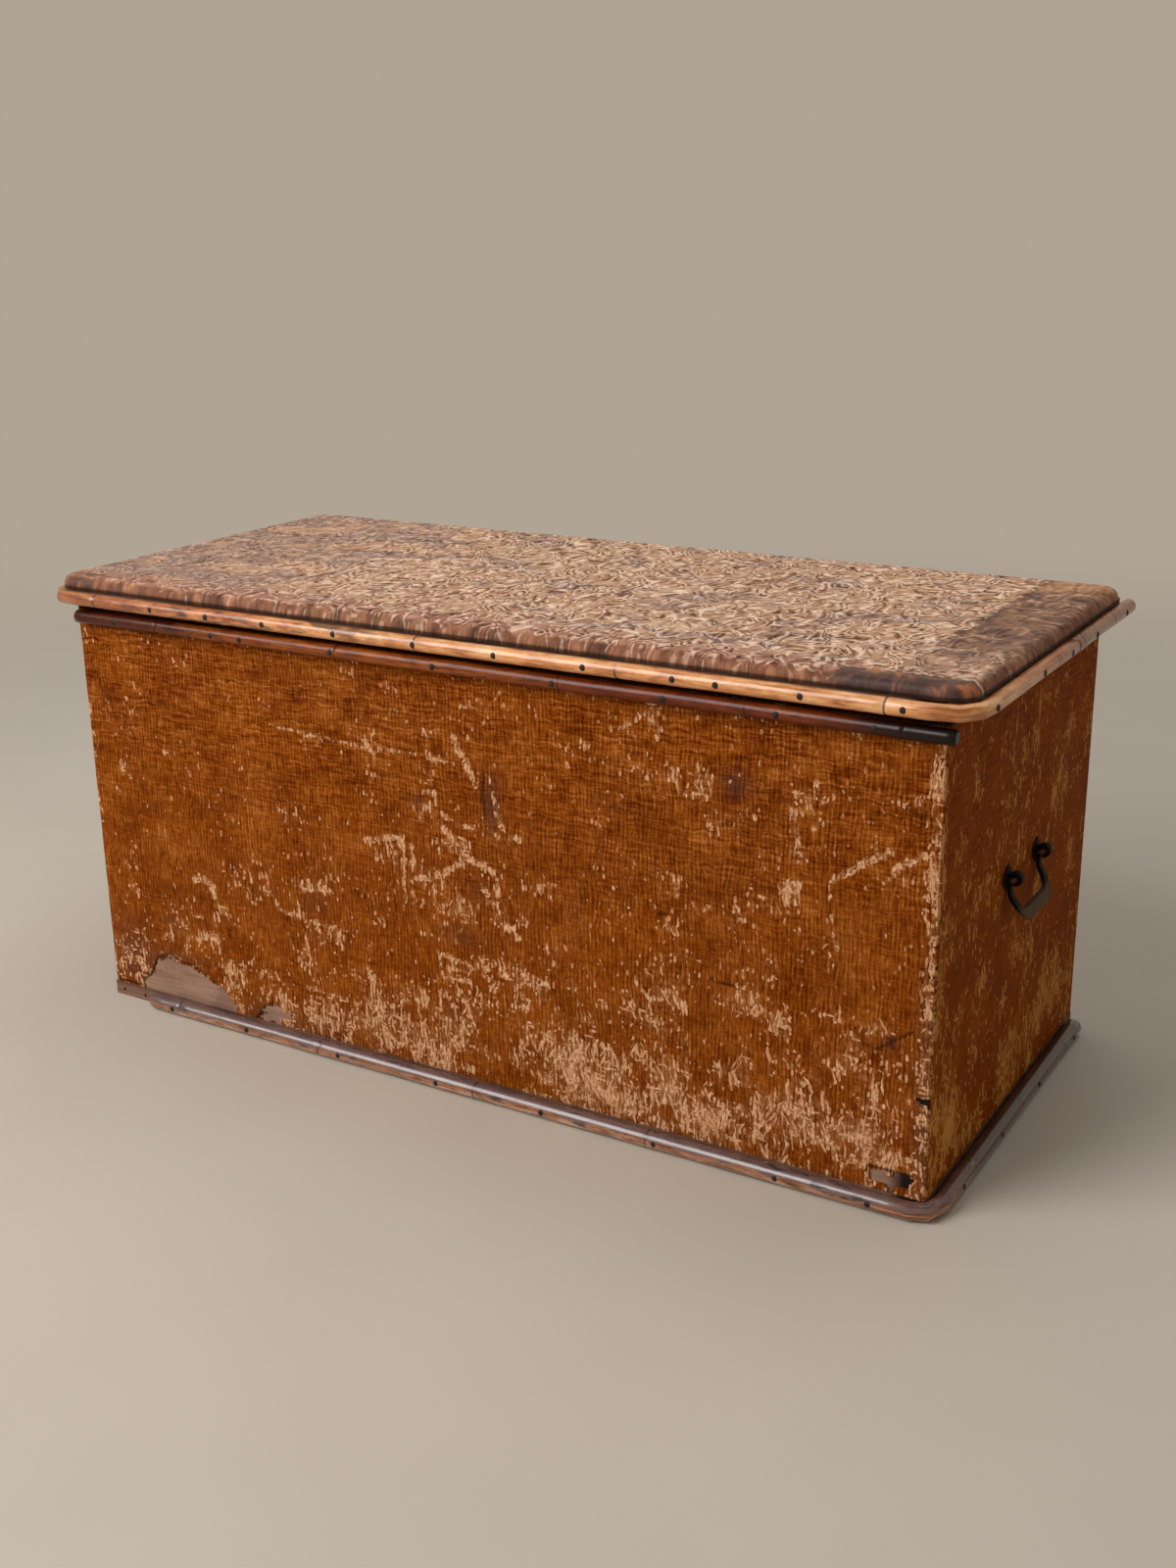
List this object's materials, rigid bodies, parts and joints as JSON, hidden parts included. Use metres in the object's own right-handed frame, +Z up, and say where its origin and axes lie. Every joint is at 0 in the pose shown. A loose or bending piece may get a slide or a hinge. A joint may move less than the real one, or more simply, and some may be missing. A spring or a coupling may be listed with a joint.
{
  "type": "storage chest",
  "caption": "Low lidded storage chest: nailed board case with ribbed covering, bamboo cane trim, raised padded-look lid on rear butt hinges and a swinging strap bail on each end.",
  "frame": {"origin": "on the floor under the middle of the case", "axes": "+Z up, +X towards the chest's right end as seen from the front, -Y towards the viewer; the lid hinges at +Y"},
  "size_m": [0.919, 0.4177, 0.43],
  "materials": {
    "case_wood": "dry, aged softwood",
    "body_covering": "varnished ribbed matting, worn and chipped",
    "lid_covering": "embossed, rubbed pale, darker at the edges",
    "lid_cane": "glossy bamboo with scorched mottles",
    "rim_cane": "dark glossy bamboo",
    "base_cane": "dark polished bamboo, rubbed at the corner",
    "nail_iron": "black round heads",
    "handle_iron": "black wrought iron, grip rubbed grey",
    "hinge_iron": "dulled, lightly rusted",
    "screw_steel": "dull"
  },
  "bodies": {
    "case": {"bottom_board": "case_wood", "front_board": "case_wood", "back_board": "case_wood", "left_end_board": "case_wood", "right_end_board": "case_wood", "front_covering": "body_covering", "back_covering": "body_covering", "left_end_covering": "body_covering", "right_end_covering": "body_covering", "rim_cane": "rim_cane", "base_cane_front": "base_cane", "base_cane_left": "base_cane", "rim_cane_nails": "nail_iron", "base_cane_nails": "nail_iron", "corner_nails": "nail_iron", "bottom_nails": "nail_iron", "left_hinge_box_leaf": "hinge_iron", "right_hinge_box_leaf": "hinge_iron", "left_hinge_pin": "hinge_iron", "right_hinge_pin": "hinge_iron", "hinge_box_screws": "screw_steel", "left_handle_plates": "handle_iron", "right_handle_plates": "handle_iron", "left_handle_staples": "handle_iron", "right_handle_staples": "handle_iron"},
    "lid": {"lid_board": "case_wood", "lid_panel": "case_wood", "lid_covering": "lid_covering", "left_lid_cleat": "case_wood", "right_lid_cleat": "case_wood", "cleat_screws": "screw_steel", "lid_cane_front": "lid_cane", "left_lid_cane_rear": "lid_cane", "right_lid_cane_rear": "lid_cane", "lid_cane_nails": "nail_iron", "left_hinge_lid_leaf": "hinge_iron", "right_hinge_lid_leaf": "hinge_iron", "hinge_lid_screws": "screw_steel"},
    "left_bail": {"left_bail": "handle_iron"},
    "right_bail": {"right_bail": "handle_iron"}
  },
  "joints": [
    {"name": "lid_hinge", "type": "hinge", "parent": "case", "child": "lid", "pos_m": [0, 0.1998, 0.403], "axis": [-1, 0, 0], "range_deg": [0, 105]},
    {"name": "left_bail_swing", "type": "hinge", "parent": "case", "child": "left_bail", "pos_m": [-0.43815, 0, 0.231], "axis": [0, 1, 0], "range_deg": [0, 170]},
    {"name": "right_bail_swing", "type": "hinge", "parent": "case", "child": "right_bail", "pos_m": [0.43815, 0, 0.231], "axis": [0, -1, 0], "range_deg": [0, 170]}
  ]
}
